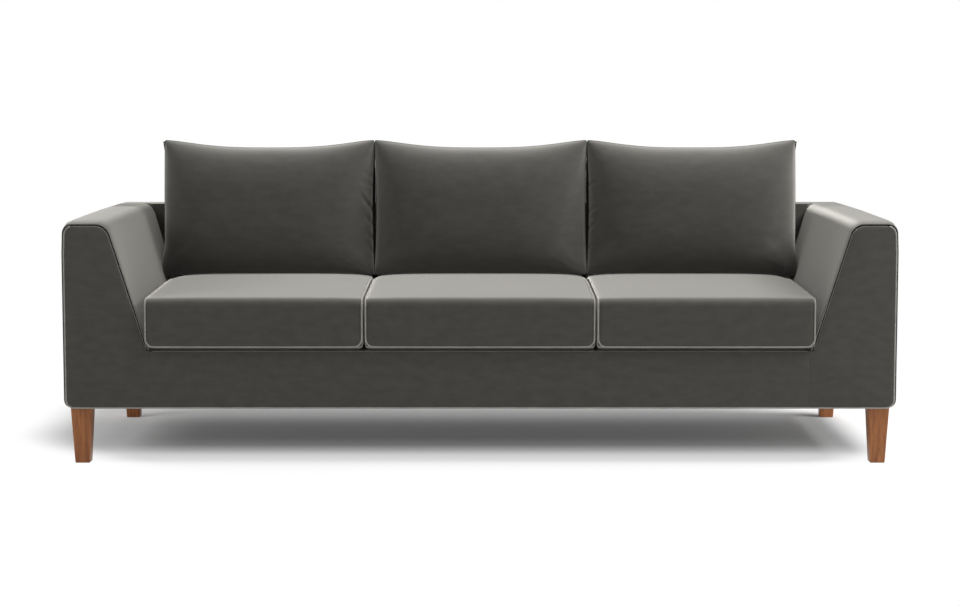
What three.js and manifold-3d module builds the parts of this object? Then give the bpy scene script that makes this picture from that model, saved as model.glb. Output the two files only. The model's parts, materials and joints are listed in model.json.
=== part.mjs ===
// A three-seat sofa whose wedge-shaped arms and back frame stand at one height, with three loose
// seat cushions, three loose knife-edge back cushions and four tapered wood legs.
// Millimetres, +Z up, front towards -Y. The origin is on the floor under the middle of the sofa.
import * as THREE from "three";
import { mergeVertices } from "three/addons/utils/BufferGeometryUtils.js";
import Module from "manifold-3d";

const wasm = await Module();
wasm.setup();

// Overall sizes
const width = 2235;
const depth = 914;
const legHeight = 153;
const baseHeight = 152;
const armHeight = 650;
const armCrown = 17;
const armTopWidth = 114;
const armFootWidth = 226;
const backTopDepth = 114;
const backFootDepth = 144;

// Clearances
const fitGap = 0.3;
const cushionGap = 4;
const armClearance = 1;
const overrun = 5;
const arcSteps = 4;

// Upholstery
const coverThickness = 12;
const outsideBackThickness = 8;
const dustCoverThickness = 2;
const deckThickness = 12;
const armTopRadius = 28;
const armSlopeRadius = 42;
const armBottomRadius = 20;
const backEdgeRadius = 14;
const coverSeamInset = 6;

// Frame timber
const railThickness = 28;
const boardThickness = 22;
const blockSize = 54;
const postSize = 45;
const topRailWidth = 85;
const slopeRailHeight = 40;
const lowerRailLift = 15;

// Springs and straps
const springWire = 4;
const springWidth = 50;
const springPitch = 40;
const springsPerSeat = 3;
const strapWidth = 60;
const strapThickness = 3;
const strapsPerSeat = 2;

// Legs and their bolts
const legTopSize = 57;
const legFootSize = 40;
const boltRadius = 5;
const boltDepthInLeg = 35;
const boltDepthInBlock = 60;
const boltSides = 12;

// Seat cushions
const centerSeatWidth = 621;
const seatThickness = 160;
const seatCrown = 5;
const seatFrontBulge = 6;
const seatOverhang = 6;
const seatSideRadius = 22;
const seatNoseRadius = 42;
const seatNoseFootRadius = 18;
const seatHeelRadius = 24;
const seatWall = 14;
const seatZipLength = 440;
const seatSteps = 4;
const seatBays = 5;
const hollowSteps = 1;
const hollowBays = 1;

// Back cushions
const backCushionHeight = 394;
const backFrontBulge = 100;
const backRearBulge = 128;
const backSeamFromInsideBack = 137;
const backEarTaper = 5;
const backTopDraw = 22;
const backSideDraw = 3;
const backBaseSquash = 25;
const backWall = 10;
const backZipLength = 420;
const backColumns = 20;
const backRows = 14;
const hollowColumns = 8;
const hollowRows = 6;
const zipWidth = 2;

// Levels and planes that the pieces share
const halfWidth = width / 2;
const deckHeight = legHeight + baseHeight;
const backHeight = armHeight + armCrown;
const frameBottom = legHeight + dustCoverThickness + 2 * fitGap;
const railTop = deckHeight - deckThickness - springWire - 2 * fitGap;
const frameTop = armHeight - coverThickness - fitGap;
const frameFront = coverThickness + fitGap;
const frameRear = depth - outsideBackThickness - fitGap;
const frameSide = halfWidth - coverThickness - fitGap;
const rearFace = frameRear - railThickness - fitGap;
const postFront = rearFace - postSize;
const strapFront = postFront - fitGap - strapThickness;
const padRear = strapFront - fitGap;
const insideBackTop = depth - backTopDepth;

// Inner face of an arm, and front face of the inside back, at a height
const armSlope = (armFootWidth - armTopWidth) / (armHeight - deckHeight);
const slopeCoverWidth = coverThickness * Math.hypot(1, armSlope);
const backLean = (backFootDepth - backTopDepth) / (backHeight - deckHeight);
const armInnerAt = (z) => halfWidth - armTopWidth - (armHeight - z) * armSlope;
const boardInnerAt = (z) => armInnerAt(z) + slopeCoverWidth + fitGap;
const insideBackAt = (z) => insideBackTop - (backHeight - z) * backLean;

// Where each seat starts and ends across the sofa, and the planes between them
const seatSplit = (centerSeatWidth + cushionGap) / 2;
const seatOuterSide = armInnerAt(deckHeight + seatSideRadius) - armClearance;
const seatInnerSide = seatSplit + cushionGap / 2;
const seats = [
  { name: "left", x0: -seatOuterSide, x1: -seatInnerSide },
  { name: "center", x0: -centerSeatWidth / 2, x1: centerSeatWidth / 2 },
  { name: "right", x0: seatInnerSide, x1: seatOuterSide },
];
const sides = [
  { name: "left", sign: -1 },
  { name: "right", sign: 1 },
];

// The frame's front and rear ends: the face of each end, and the way from it into the sofa
const ends = [
  { name: "front", face: frameFront, inward: 1 },
  { name: "rear", face: frameRear, inward: -1 },
];

// Seat cushions reach from in front of the rail panel to the inside back
const seatFront = -seatOverhang;
const seatRear = insideBackAt(deckHeight) - fitGap;
const seatTop = deckHeight + fitGap + seatThickness;

// Rise of a seat cushion's top over its side seams; across and along run from -1 to 1
const seatCrownShare = (across, along) => (1 - Math.abs(across) ** 3) * (1 - along ** 4);

// Fullness of a back cushion at a place across or up it, from 0 at the seam to 1 in the middle
const fullShare = (place) => (1 - Math.abs(place) ** 3) ** 0.5;

// Back cushions stand on the crown of the seat, at the front of their own squashed foot
const squashPlace = (2 * backBaseSquash) / backCushionHeight - 1;
const backFootFront =
  insideBackAt(seatTop) - backSeamFromInsideBack - backFrontBulge * fullShare(squashPlace);
const footAlong = (2 * backFootFront - seatFront - seatRear) / (seatRear - seatFront);
const backFoot = seatTop + seatCrown * seatCrownShare(0, footAlong) + fitGap;
const backEars = backFoot + backCushionHeight;

// Outer side of an outer back cushion at a height: along the arm at its foot, drawn in at its ear
const backOuterSideAt = (z) =>
  armInnerAt(backFoot) - armClearance - (backEarTaper * (z - backFoot)) / backCushionHeight;

// Finishes: colour, roughness and metalness of each material
const finishes = {
  velvet: [0x45423e, 0.85, 0],
  legWood: [0x925e40, 0.45, 0],
  frameWood: [0xc8a779, 0.8, 0],
  steel: [0x8d8f91, 0.35, 1],
  webbing: [0x3a332c, 0.9, 0],
  dustCloth: [0x1d1c1b, 0.95, 0],
  foam: [0xe9dfc6, 0.95, 0],
};

const sofa = new THREE.Group();
sofa.position.y = -(depth - seatOverhang - seatFrontBulge) / 2;

function add(name, geometry, finish) {
  const [color, roughness, metalness] = finishes[finish];
  const material = new THREE.MeshStandardMaterial({ color, roughness, metalness });
  const mesh = new THREE.Mesh(geometry, material);
  mesh.name = name;
  sofa.add(mesh);
  return mesh;
}

// A block between two values on each axis, given in either order
function block(x, y, z) {
  const spans = [x, y, z].map(([from, to]) => [Math.min(from, to), Math.max(from, to)]);
  const sizes = spans.map(([low, high]) => high - low);
  const centre = spans.map(([low, high]) => (low + high) / 2);
  return new THREE.BoxGeometry(...sizes).translate(...centre);
}

// A plan outline [x, y] raised from z0 to z1
function raised(outline, z0, z1) {
  const shape = new THREE.Shape(outline.map(([x, y]) => new THREE.Vector2(x, y)));
  return new THREE.ExtrudeGeometry(shape, { depth: z1 - z0, bevelEnabled: false }).translate(0, 0, z0);
}

// A front-view outline [x, z] carried back from y0 to y1
function carriedBack(outline, y0, y1) {
  return raised(outline, -y1, -y0).rotateX(Math.PI / 2);
}

// A side-view outline [y, z] carried across from x0 to x1
function carriedAcross(outline, x0, x1) {
  const sideways = new THREE.Matrix4().makeBasis(
    new THREE.Vector3(0, 1, 0),
    new THREE.Vector3(0, 0, 1),
    new THREE.Vector3(1, 0, 0),
  );
  return raised(outline, x0, x1).applyMatrix4(sideways);
}

// The outline with an arc of the given radius, in the given number of steps, at each corner
function filleted(corners, steps) {
  return corners.flatMap(([x, y, radius = 0], i) => {
    if (!radius) return [[x, y]];
    const corner = new THREE.Vector2(x, y);
    const [before, after] = [i - 1, i + 1].map((k) => {
      const [nx, ny] = corners[(k + corners.length) % corners.length];
      return new THREE.Vector2(nx, ny).sub(corner).normalize();
    });
    const half = Math.acos(THREE.MathUtils.clamp(before.dot(after), -1, 1)) / 2;
    const middle = before.clone().add(after).normalize();
    const centre = corner.clone().addScaledVector(middle, radius / Math.sin(half));
    const start = corner.clone().addScaledVector(before, radius / Math.tan(half)).sub(centre);
    const turn = Math.sign(before.cross(after)) * (2 * half - Math.PI);
    return Array.from({ length: steps + 1 }, (_, k) => {
      const spoke = start.clone().rotateAround(new THREE.Vector2(), (turn * k) / steps);
      return [centre.x + spoke.x, centre.y + spoke.y];
    });
  });
}

// A closed skin through rings of points of equal count, each end closed by a fan round its middle
function lofted(rings) {
  const count = rings[0].length;
  const faces = [];
  rings.slice(1).forEach((_, r) => {
    for (let i = 0; i < count; i++) {
      const [a, b] = [r * count + i, r * count + ((i + 1) % count)];
      faces.push(a, b, b + count, a, b + count, a + count);
    }
  });
  const last = (rings.length - 1) * count;
  const middles = [rings[0], rings.at(-1)].map((ring) =>
    [0, 1, 2].map((axis) => ring.reduce((sum, point) => sum + point[axis], 0) / count),
  );
  const [first, final] = [last + count, last + count + 1];
  for (let i = 0; i < count; i++) {
    const next = (i + 1) % count;
    faces.push(next, i, first, last + i, last + next, final);
  }
  return skinOf([...rings.flat(), ...middles], faces);
}

// A closed skin from its points and faces, turned where its faces would point inwards
function skinOf(points, faces) {
  const corners = points.map((point) => new THREE.Vector3(...point));
  let volume = 0;
  for (let i = 0; i < faces.length; i += 3) {
    const [a, b, c] = faces.slice(i, i + 3).map((k) => corners[k]);
    volume += a.dot(b.clone().cross(c));
  }
  const geometry = new THREE.BufferGeometry();
  geometry.setAttribute("position", new THREE.Float32BufferAttribute(points.flat(), 3));
  geometry.setIndex(volume < 0 ? faces.reverse() : faces);
  return geometry;
}

function solidOf(geometry) {
  const bare = geometry.clone();
  bare.deleteAttribute("normal");
  bare.deleteAttribute("uv");
  const merged = mergeVertices(bare);
  const vertProperties = new Float32Array(merged.getAttribute("position").array);
  const triVerts = new Uint32Array(merged.getIndex().array);
  return new wasm.Manifold(new wasm.Mesh({ numProp: 3, vertProperties, triVerts }));
}

function geometryOf(solid) {
  const { vertProperties, triVerts } = solid.getMesh();
  const geometry = new THREE.BufferGeometry();
  geometry.setAttribute("position", new THREE.BufferAttribute(vertProperties, 3));
  geometry.setIndex(new THREE.BufferAttribute(triVerts, 1));
  return geometry;
}

function cut(piece, ...tools) {
  return geometryOf(tools.reduce((left, tool) => left.subtract(solidOf(tool)), solidOf(piece)));
}

function joined(piece, ...others) {
  return geometryOf(others.reduce((whole, other) => whole.add(solidOf(other)), solidOf(piece)));
}

// Mirrors an outline to the left side, keeping its direction of travel
const onSide = (sign, outline) => {
  const placed = outline.map(([x, ...rest]) => [sign * x, ...rest]);
  return sign < 0 ? placed.reverse() : placed;
};

// Seat base: two long rails, side rails, stretchers between the seats, and corner blocks for the legs
function addBase() {
  const blockInner = frameSide - blockSize;
  const railEnd = blockInner - fitGap;
  const level = [frameBottom, railTop];
  for (const end of ends) {
    const depthOf = (size) => [end.face, end.face + end.inward * size];
    add(`${end.name}_rail`, block([-railEnd, railEnd], depthOf(railThickness), level), "frameWood");
    for (const side of sides) {
      const x = [side.sign * blockInner, side.sign * frameSide];
      const corner = cut(block(x, depthOf(blockSize), level), boltAt(side, end, fitGap));
      add(`corner_block_${end.name}_${side.name}`, corner, "frameWood");
    }
  }
  const betweenBlocks = [frameFront + blockSize + fitGap, frameRear - blockSize - fitGap];
  const betweenRails = [frameFront + railThickness + fitGap, rearFace];
  for (const { name, sign } of sides) {
    const railX = [sign * (frameSide - railThickness), sign * frameSide];
    add(`${name}_side_rail`, block(railX, betweenBlocks, level), "frameWood");
    const stretcherX = [-1, 1].map((edge) => sign * seatSplit + (edge * railThickness) / 2);
    add(`${name}_seat_stretcher`, block(stretcherX, betweenRails, level), "frameWood");
  }
}

// Plan centre of the leg, block and bolt at one corner
const cornerCentre = (side, end) => [
  side.sign * (frameSide - blockSize / 2),
  end.face + (end.inward * blockSize) / 2,
];

// The bolt that holds a leg to its block, or with a clearance the hole for it
function boltAt(side, end, clearance) {
  const radius = boltRadius + clearance;
  const length = boltDepthInLeg + boltDepthInBlock + 2 * clearance;
  const [x, y] = cornerCentre(side, end);
  return new THREE.CylinderGeometry(radius, radius, length, boltSides)
    .rotateX(Math.PI / 2)
    .translate(x, y, legHeight + (boltDepthInBlock - boltDepthInLeg) / 2);
}

// Legs: a tapered square leg under each corner block, held by a bolt that runs up into the block
function addLegs() {
  const [topRadius, footRadius] = [legTopSize, legFootSize].map((size) => size / Math.SQRT2);
  for (const side of sides) {
    for (const end of ends) {
      const [x, y] = cornerCentre(side, end);
      const leg = new THREE.CylinderGeometry(topRadius, footRadius, legHeight, 4)
        .rotateY(Math.PI / 4)
        .rotateX(Math.PI / 2)
        .translate(x, y, legHeight / 2);
      add(`${end.name}_leg_${side.name}`, cut(leg, boltAt(side, end, fitGap)), "legWood");
      add(`leg_bolt_${end.name}_${side.name}`, boltAt(side, end, 0), "steel");
    }
  }
}

// Arm frames: shaped boards at both ends, with a top rail and a rail at the foot of the slope
function addArmFrames() {
  const foot = railTop + fitGap;
  const boards = { front: [frameFront, frameFront + boardThickness], rear: [rearFace + fitGap, frameRear] };
  const betweenBoards = [boards.front[1] + fitGap, rearFace];
  for (const { name, sign } of sides) {
    const outline = onSide(sign, [
      [boardInnerAt(foot), foot],
      [frameSide, foot],
      [frameSide, frameTop],
      [boardInnerAt(frameTop), frameTop],
    ]);
    for (const end of ends) {
      add(`${name}_arm_${end.name}_board`, carriedBack(outline, ...boards[end.name]), "frameWood");
    }
    const topRail = block(
      [sign * (frameSide - topRailWidth), sign * frameSide],
      betweenBoards,
      [frameTop - railThickness, frameTop],
    );
    add(`${name}_arm_top_rail`, topRail, "frameWood");
    const slopeRailInner = boardInnerAt(foot + slopeRailHeight);
    const slopeRail = block(
      [sign * slopeRailInner, sign * (slopeRailInner + railThickness)],
      betweenBoards,
      [foot, foot + slopeRailHeight],
    );
    add(`${name}_arm_slope_rail`, slopeRail, "frameWood");
  }
}

// Back frame: posts against the rear rail, a top rail and a lower rail, and straps across them
function addBackFrame() {
  const postOuter = armInnerAt(deckHeight) - fitGap;
  const postInner = postOuter - postSize;
  const y = [postFront, rearFace];
  const topRailZ = [frameTop - postSize, frameTop];
  const lowerRailZ = [deckHeight + lowerRailLift, deckHeight + lowerRailLift + postSize];
  const topRailEnd = frameSide - topRailWidth - fitGap;
  add("back_top_rail", block([-topRailEnd, topRailEnd], y, topRailZ), "frameWood");
  const lowerRailEnd = postInner - fitGap;
  add("back_lower_rail", block([-lowerRailEnd, lowerRailEnd], y, lowerRailZ), "frameWood");
  for (const { name, sign } of sides) {
    const post = block([sign * postInner, sign * postOuter], y, [frameBottom, topRailZ[0] - fitGap]);
    add(`${name}_back_post`, post, "frameWood");
  }
  const strapCount = strapsPerSeat * seats.length;
  const strapSpacing = (2 * lowerRailEnd) / strapCount;
  for (let i = 0; i < strapCount; i++) {
    const x = (i + 1 / 2) * strapSpacing - lowerRailEnd;
    const strap = block(
      [x - strapWidth / 2, x + strapWidth / 2],
      [strapFront, strapFront + strapThickness],
      [lowerRailZ[0], topRailZ[1]],
    );
    add(`back_strap_${i + 1}`, strap, "webbing");
  }
}

// Seat springs: flat zigzag wires from the front rail to the rear rail, tied across in the middle
function zigzag(x, y0, y1) {
  const loops = Math.max(2, Math.round((y1 - y0) / springPitch));
  const step = (y1 - y0) / loops;
  const line = [[x, y0]];
  for (let i = 0; i < loops; i++) {
    const edge = x + ((i % 2 ? -1 : 1) * (springWidth - springWire)) / 2;
    line.push([edge, y0 + i * step], [edge, y0 + (i + 1) * step]);
  }
  line.push([x, y1]);
  return line;
}

// The outline of a wire that follows a line of right-angled bends
function wireOutline(line) {
  const half = springWire / 2;
  const offset = (side) =>
    line.map(([x, y], i) => {
      const runs = [line[i - 1] && [line[i - 1], [x, y]], line[i + 1] && [[x, y], line[i + 1]]];
      return runs.filter(Boolean).reduce(
        ([px, py], [[ax, ay], [bx, by]]) => {
          const along = Math.abs(bx - ax) > Math.abs(by - ay);
          return along
            ? [px, y + side * half * Math.sign(bx - ax)]
            : [x - side * half * Math.sign(by - ay), py];
        },
        [x, y],
      );
    });
  return [...offset(1), ...offset(-1).reverse()];
}

function addSprings() {
  const bearing = railThickness / 2;
  const y = [frameFront + bearing, frameRear - bearing];
  const z = [railTop + fitGap, railTop + fitGap + springWire];
  const tieY = [(y[0] + y[1] - springWire) / 2, (y[0] + y[1] + springWire) / 2];
  const reach = armInnerAt(railTop) - postSize - springWidth;
  const spans = [
    [-reach, -seatSplit],
    [-seatSplit, seatSplit],
    [seatSplit, reach],
  ];
  seats.forEach(({ name }, i) => {
    const [x0, x1] = spans[i];
    const pitch = (x1 - x0) / springsPerSeat;
    const places = Array.from({ length: springsPerSeat }, (_, k) => x0 + (k + 1 / 2) * pitch);
    const wires = places.map((x) => raised(wireOutline(zigzag(x, ...y)), ...z));
    const tie = block([places[0], places.at(-1)], tieY, z);
    add(`${name}_seat_springs`, joined(tie, ...wires), "steel");
  });
}

// Seat deck: the padded cloth that the seat cushions lie on, over the springs
function addDeck() {
  const bottom = deckHeight - deckThickness;
  const end = armInnerAt(bottom) - fitGap;
  const deck = block([-end, end], [frameFront, insideBackAt(deckHeight) - fitGap], [bottom, deckHeight]);
  add("seat_deck", deck, "velvet");
}

// Front covers: a rail panel between two arm panels, seamed under the foot of each arm slope
function addFrontCovers() {
  const seam = armInnerAt(deckHeight) - coverSeamInset;
  const panel = block([-seam + fitGap, seam - fitGap], [0, coverThickness], [legHeight, deckHeight]);
  add("front_rail_cover", panel, "velvet");
  for (const { name, sign } of sides) {
    const outline = onSide(sign, [
      [seam, legHeight],
      [halfWidth, legHeight, armBottomRadius],
      [halfWidth, armHeight, armTopRadius],
      [armInnerAt(armHeight), armHeight, armSlopeRadius],
      [armInnerAt(deckHeight), deckHeight],
      [seam, deckHeight],
    ]);
    add(`${name}_arm_front_cover`, carriedBack(filleted(outline, arcSteps), 0, coverThickness), "velvet");
  }
}

// The seam where an arm's top meets the back's top runs from the inner corner to the outer corner
const mitre = [
  [armInnerAt(backHeight), insideBackTop],
  [halfWidth, depth],
];
const mitreReach = (past) => {
  const [inner, outer] = mitre.map((point) => new THREE.Vector2(...point));
  return outer.clone().addScaledVector(outer.clone().sub(inner).normalize(), past).toArray();
};

// Arm wraps: outer side, top and sloping inner side in one padded skin, mitred into the back's top
function addArmWraps() {
  const underside = armHeight - coverThickness;
  const slopeFoot = railTop + fitGap;
  const outerFace = halfWidth - coverThickness;
  const inward = armInnerAt(slopeFoot) - overrun;
  const below = legHeight - overrun;
  const behind = depth + overrun;
  const stations = [
    [frameFront, armHeight],
    [insideBackTop, backHeight],
    [depth, backHeight],
  ];
  const far = mitreReach(overrun);
  for (const { name, sign } of sides) {
    const rings = stations.map(([y, top]) => {
      const corners = [
        [halfWidth, legHeight, armBottomRadius],
        [halfWidth, top, armTopRadius],
        [armInnerAt(top), top, armSlopeRadius],
        [armInnerAt(slopeFoot), slopeFoot],
        [armInnerAt(slopeFoot), legHeight],
      ];
      return filleted(corners, arcSteps).map(([x, z]) => [sign * x, y, z]);
    });
    const hollow = carriedBack(
      onSide(sign, [
        [inward, below],
        [outerFace, below],
        [outerFace, underside],
        [armInnerAt(underside) + slopeCoverWidth, underside],
        [armInnerAt(slopeFoot) + slopeCoverWidth, slopeFoot],
        [inward, slopeFoot],
      ]),
      frameFront - overrun,
      behind,
    );
    const behindPad = block([sign * inward, sign * outerFace], [padRear, behind], [below, underside]);
    const mitreCut = [[inward, insideBackTop], mitre[0], far, [inward, far[1]]];
    const pastMitre = raised(onSide(sign, mitreCut), underside, backHeight + overrun);
    add(`${name}_arm_wrap`, cut(lofted(rings), hollow, behindPad, pastMitre), "velvet");
  }
}

// Inside back: the padded face behind the cushions, turned over the back's top and mitred to the arms
function addBackWrap() {
  const foot = deckHeight + fitGap;
  const underside = frameTop + fitGap;
  const section = filleted(
    [
      [insideBackAt(foot), foot],
      [padRear, foot],
      [padRear, underside],
      [depth, underside],
      [depth, backHeight, backEdgeRadius],
      [insideBackTop, backHeight, backEdgeRadius],
    ],
    arcSteps,
  );
  const whole = carriedAcross(section, -halfWidth, halfWidth);
  const outer = halfWidth + overrun;
  const front = insideBackAt(foot) - overrun;
  const tools = sides.flatMap(({ sign }) => {
    const low = foot - overrun;
    const high = backHeight + overrun;
    const alongSlope = (top) =>
      onSide(sign, [
        [armInnerAt(low) - fitGap, low],
        [outer, low],
        [outer, top],
        [armInnerAt(top) - fitGap, top],
      ]);
    const far = mitreReach(overrun);
    const alongMitre = onSide(sign, [
      [mitre[0][0] - fitGap, front],
      [outer, front],
      [outer, far[1]],
      [far[0] - fitGap, far[1]],
      [mitre[0][0] - fitGap, mitre[0][1]],
    ]);
    return [
      carriedBack(alongSlope(high), front, insideBackTop),
      carriedBack(alongSlope(underside), front, padRear + overrun),
      raised(alongMitre, underside - overrun, high),
    ];
  });
  add("inside_back", cut(whole, ...tools), "velvet");
}

// Outside back panel and the dust cover, with a hole for each leg bolt
function addClosingPanels() {
  const back = block([-frameSide, frameSide], [depth - outsideBackThickness, depth], [legHeight, frameTop]);
  add("outside_back", back, "velvet");
  const sheet = block(
    [-frameSide, frameSide],
    [frameFront, frameRear],
    [legHeight + fitGap, legHeight + fitGap + dustCoverThickness],
  );
  const holes = sides.flatMap((side) => ends.map((end) => boltAt(side, end, fitGap)));
  add("dust_cover", cut(sheet, ...holes), "dustCloth");
}

// Evenly spaced values between two ends, the ends left out
const between = (from, to, count) =>
  Array.from({ length: count }, (_, k) => THREE.MathUtils.lerp(from, to, (k + 1) / (count + 1)));

// A seat cushion form: a side profile with a round nose, crowned, and rounded into flat side panels.
// The inset shrinks it on every side, for the hollow and the foam inside the cover.
function seatForm({ x0, x1 }, inset, steps, bays) {
  const [left, right] = [x0 + inset, x1 - inset];
  const [front, rear] = [seatFront + inset, seatRear - inset];
  const [low, high] = [deckHeight + fitGap + inset, seatTop - inset];
  const middle = [(left + right) / 2, (front + rear) / 2, (low + high) / 2];
  const half = [(right - left) / 2, (rear - front) / 2, (high - low) / 2];
  const round = (radius) => Math.max(radius - inset, fitGap);
  const arcs = filleted(
    [
      [front, low, round(seatNoseFootRadius)],
      [rear, low, round(seatHeelRadius)],
      [rear, high, round(seatHeelRadius)],
      [front, high, round(seatNoseRadius)],
    ],
    steps,
  );
  const heelEnd = 3 * (steps + 1);
  const topLine = between(arcs[heelEnd - 1][0], arcs[heelEnd][0], bays).map((y) => [y, high]);
  const frontLine = between(arcs.at(-1)[1], arcs[0][1], Math.ceil(bays / 2)).map((z) => [front, z]);
  const profile = [...arcs.slice(0, heelEnd), ...topLine, ...arcs.slice(heelEnd), ...frontLine];
  const sideRadius = round(seatSideRadius);
  const turns = Array.from({ length: steps + 1 }, (_, k) => ((k / steps) * Math.PI) / 2);
  const edge = turns.map((turn) => [
    sideRadius * (1 - Math.cos(turn)),
    sideRadius * (1 - Math.sin(turn)),
  ]);
  const stations = [
    ...edge.map(([step, shrink]) => [left + step, shrink]),
    ...between(left + sideRadius, right - sideRadius, bays).map((x) => [x, 0]),
    ...edge.map(([step, shrink]) => [right - step, shrink]).reverse(),
  ];
  const rings = stations.map(([x, shrink]) => {
    const across = (x - middle[0]) / half[0];
    return profile.map(([y, z]) => {
      const [along, up] = [(y - middle[1]) / half[1], (z - middle[2]) / half[2]];
      const crown = Math.max(up, 0) * seatCrown * seatCrownShare(across, along);
      const bulge = Math.max(-along, 0) ** 4 * seatFrontBulge * (1 - across ** 4) * (1 - up ** 2);
      return [
        x,
        middle[1] + along * (half[1] - shrink) - bulge,
        middle[2] + up * (half[2] - shrink) + crown,
      ];
    });
  });
  return lofted(rings);
}

// Seat cushions: a cover with its wadding, slit at the heel for the zip, round a foam block
function addSeatCushions() {
  for (const seat of seats) {
    const middle = (seat.x0 + seat.x1) / 2;
    const zip = block(
      [middle - seatZipLength / 2, middle + seatZipLength / 2],
      [seatRear - seatWall - overrun, seatRear + overrun],
      [(deckHeight + seatTop - zipWidth) / 2, (deckHeight + seatTop + zipWidth) / 2],
    );
    const hollow = seatForm(seat, seatWall, hollowSteps, hollowBays);
    const cover = cut(seatForm(seat, 0, seatSteps, seatBays), hollow, zip);
    add(`${seat.name}_seat_cover`, cover, "velvet");
    add(`${seat.name}_seat_foam`, seatForm(seat, seatWall + fitGap, hollowSteps, hollowBays), "foam");
  }
}

// A back cushion form: two full faces that meet in a knife edge, with ears at the corners, flat where
// it stands on the seat and leans on the inside back. The inset shrinks it for the hollow and filling.
function backForm({ x0, x1 }, inset, columns, rows) {
  const foot = backFoot + inset;
  const ears = backEars - 2 * inset;
  const place = (u, v) => {
    const up = (v + 1) / 2;
    const level = THREE.MathUtils.lerp(foot, ears, up);
    const drawn = backSideDraw * (1 - v ** 2) + 2 * inset;
    const reach = [x0, x1].map((x, end) => {
      const side = Math.abs(x) > seatInnerSide ? Math.sign(x) * backOuterSideAt(level) : x;
      return side + (end ? -drawn : drawn);
    });
    const x = THREE.MathUtils.lerp(...reach, (u + 1) / 2);
    const ridge = 1 - u ** 4;
    const z = level - backTopDraw * ridge * up ** 3 - backBaseSquash * ridge * (1 - up) ** 4;
    const seam = insideBackAt(level) - backSeamFromInsideBack;
    const full = fullShare(u) * fullShare(v);
    const front = seam - (backFrontBulge - inset) * full;
    const rear = Math.min(seam + (backRearBulge - inset) * full, insideBackAt(z) - fitGap - inset);
    return { x, z: Math.max(z, foot), front, rear };
  };
  const spread = (count) => Array.from({ length: count + 1 }, (_, k) => -Math.cos((k / count) * Math.PI));
  const points = [];
  const faceOf = (side) =>
    spread(columns).map((u, i) =>
      spread(rows).map((v, j) => {
        const onSeam = i % columns === 0 || j % rows === 0;
        if (side === "rear" && onSeam) return null;
        const at = place(u, v);
        return points.push([at.x, at[side], at.z]) - 1;
      }),
    );
  const front = faceOf("front");
  const rear = faceOf("rear").map((column, i) => column.map((index, j) => index ?? front[i][j]));
  const faces = [];
  for (let i = 0; i < columns; i++) {
    for (let j = 0; j < rows; j++) {
      const towardsEar = i < columns / 2 === j < rows / 2;
      for (const [grid, turned] of [[front, false], [rear, true]]) {
        const [a, b, c, d] = [grid[i][j], grid[i + 1][j], grid[i + 1][j + 1], grid[i][j + 1]];
        const halves = towardsEar ? [a, b, c, a, c, d] : [a, b, d, b, c, d];
        faces.push(...(turned ? halves.reverse() : halves));
      }
    }
  }
  return skinOf(points, faces);
}

// Back cushions: a cover that opens at its foot for the zip, round a loose filling
function addBackCushions() {
  for (const seat of seats) {
    const middle = (seat.x0 + seat.x1) / 2;
    const seam = insideBackAt(backFoot) - backSeamFromInsideBack;
    const zip = block(
      [middle - backZipLength / 2, middle + backZipLength / 2],
      [seam - zipWidth / 2, seam + zipWidth / 2],
      [backFoot - overrun, backFoot + backWall + overrun],
    );
    const hollow = backForm(seat, backWall, hollowColumns, hollowRows);
    const cover = cut(backForm(seat, 0, backColumns, backRows), hollow, zip);
    add(`${seat.name}_back_cover`, cover, "velvet");
    add(`${seat.name}_back_filling`, backForm(seat, backWall + fitGap, hollowColumns, hollowRows), "foam");
  }
}

addBase();
addLegs();
addArmFrames();
addBackFrame();
addSprings();
addDeck();
addFrontCovers();
addArmWraps();
addBackWrap();
addClosingPanels();
addSeatCushions();
addBackCushions();

export default sofa;
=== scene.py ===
import json
import math
from contextlib import contextmanager

import bmesh
import bpy
import numpy as np
from mathutils import Matrix, Vector
from mathutils.bvhtree import BVHTree


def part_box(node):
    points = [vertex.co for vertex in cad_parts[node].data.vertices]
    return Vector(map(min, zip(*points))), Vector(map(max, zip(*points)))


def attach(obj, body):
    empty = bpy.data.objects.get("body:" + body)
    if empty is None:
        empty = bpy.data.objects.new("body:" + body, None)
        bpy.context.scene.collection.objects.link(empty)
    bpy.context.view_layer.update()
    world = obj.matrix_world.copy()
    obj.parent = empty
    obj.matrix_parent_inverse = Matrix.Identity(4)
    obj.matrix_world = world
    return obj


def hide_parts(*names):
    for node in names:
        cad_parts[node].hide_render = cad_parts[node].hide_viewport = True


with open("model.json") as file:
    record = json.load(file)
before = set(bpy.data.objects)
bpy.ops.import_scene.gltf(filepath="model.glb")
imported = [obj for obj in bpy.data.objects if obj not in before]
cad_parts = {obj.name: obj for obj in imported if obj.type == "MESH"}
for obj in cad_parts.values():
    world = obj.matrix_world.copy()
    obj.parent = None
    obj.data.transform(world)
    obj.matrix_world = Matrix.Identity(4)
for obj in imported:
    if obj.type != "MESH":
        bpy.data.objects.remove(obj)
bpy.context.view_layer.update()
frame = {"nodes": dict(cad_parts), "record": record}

# Camera: stands straight in front of the sofa and looks slightly down at it.
# The lens and the tilt were worked out from the sofa's own edges.
camera_lens = 79.09
camera_place = (0, -6.0883, 0.9659)
camera_tilt = 5.3546
camera_data = bpy.data.cameras.new("camera")
camera_data.sensor_width = 36
camera_data.lens = camera_lens
camera = bpy.data.objects.new("camera", camera_data)
camera.location = camera_place
camera.rotation_euler = (math.radians(90 - camera_tilt), 0, 0)
bpy.context.scene.collection.objects.link(camera)
bpy.context.scene.camera = camera

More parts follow.
